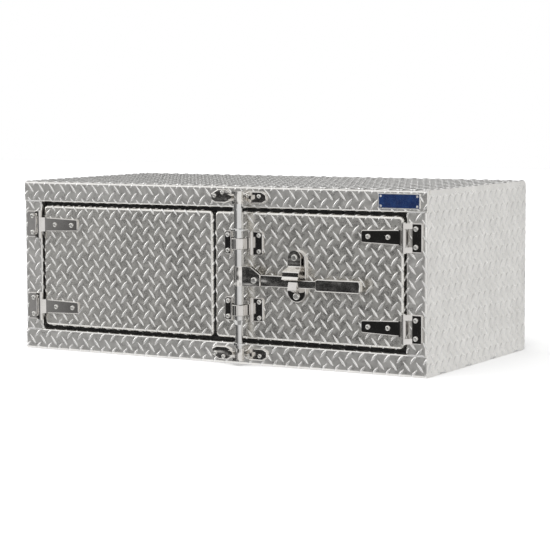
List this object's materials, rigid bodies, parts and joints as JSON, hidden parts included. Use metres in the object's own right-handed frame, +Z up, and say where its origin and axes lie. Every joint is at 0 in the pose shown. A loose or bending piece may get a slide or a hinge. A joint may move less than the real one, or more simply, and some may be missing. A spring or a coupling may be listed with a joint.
{
  "type": "truck tool box",
  "caption": "Double-door aluminium tread-plate tool box for a truck, with stainless strap hinges and a cam-action lock rod with a lift-out handle and swinging hasp.",
  "frame": {"origin": "centre of the flat bottom face of the box", "axes": "+X to the right when facing the doors, +Y to the back of the box, +Z up; the doors face -Y"},
  "size_m": [1.2192, 0.6588, 0.4572],
  "materials": {
    "tread_plate": "bright tread plate, lightly brushed",
    "door_tread_plate": "bright tread plate, lightly brushed",
    "plain_aluminium": "mill finish sheet",
    "polished_stainless": "polished stainless steel",
    "polished_rod": "polished stainless tube",
    "bolt_steel": "bright plated steel",
    "black_rubber": "matt sponge rubber",
    "black_nylon": "moulded nylon",
    "blue_enamel": "blue enamel on aluminium"
  },
  "bodies": {
    "box": {"body_wrap": "tread_plate", "left_end_panel": "tread_plate", "right_end_panel": "tread_plate", "door_seal": "black_rubber", "left_upper_butt": "polished_stainless", "left_lower_butt": "polished_stainless", "right_upper_butt": "polished_stainless", "right_lower_butt": "polished_stainless", "hinge_pins": "bolt_steel", "butt_bolts": "bolt_steel", "top_keeper": "polished_stainless", "bottom_keeper": "polished_stainless", "keeper_bolts": "bolt_steel", "nameplate": "blue_enamel", "nameplate_frame": "polished_stainless", "nameplate_rivets": "bolt_steel"},
    "left_door": {"left_door_skin": "door_tread_plate", "left_door_liner": "plain_aluminium", "left_upper_strap": "polished_stainless", "left_lower_strap": "polished_stainless", "left_strap_bolts": "bolt_steel", "centre_seal": "black_rubber"},
    "right_door": {"right_door_skin": "door_tread_plate", "right_door_liner": "plain_aluminium", "right_upper_strap": "polished_stainless", "right_lower_strap": "polished_stainless", "right_strap_bolts": "bolt_steel", "upper_bearing_base": "polished_stainless", "lower_bearing_base": "polished_stainless", "upper_bearing_saddle": "polished_stainless", "lower_bearing_saddle": "polished_stainless", "upper_bearing_bush": "black_nylon", "lower_bearing_bush": "black_nylon", "bearing_bolts": "bolt_steel", "catch_base": "polished_stainless", "catch_hook": "polished_stainless", "catch_bolt": "bolt_steel"},
    "lock_rod": {"rod_tube": "polished_rod", "lower_spindle": "polished_rod", "top_cam": "polished_stainless", "bottom_cam": "polished_stainless", "upper_collar": "polished_rod", "lower_collar": "polished_rod", "socket_rings": "polished_rod", "hub_clevis": "polished_stainless"},
    "handle": {"handle_bar": "polished_stainless", "handle_grip": "polished_stainless", "handle_pivot": "bolt_steel", "handle_stop": "polished_stainless"},
    "hasp": {"hasp": "polished_stainless", "hasp_rivet": "bolt_steel"}
  },
  "joints": [
    {"name": "left_door_hinge", "type": "hinge", "parent": "box", "child": "left_door", "pos_m": [-0.551, -0.3153, 0.2298], "axis": [0, 0, -1], "range_deg": [0, 180]},
    {"name": "right_door_hinge", "type": "hinge", "parent": "box", "child": "right_door", "pos_m": [0.551, -0.3153, 0.2298], "axis": [0, 0, 1], "range_deg": [0, 180]},
    {"name": "lock_rod_turn", "type": "hinge", "parent": "right_door", "child": "lock_rod", "pos_m": [0.092, -0.332, 0.2298], "axis": [0, 0, -1], "range_deg": [0, 100]},
    {"name": "handle_lift", "type": "hinge", "parent": "lock_rod", "child": "handle", "pos_m": [0.14, -0.332, 0.2215], "axis": [0, -1, 0], "range_deg": [0, 7]},
    {"name": "hasp_swing", "type": "hinge", "parent": "right_door", "child": "hasp", "pos_m": [0.249, -0.3223, 0.2825], "axis": [0, -1, 0], "range_deg": [0, 95]}
  ]
}
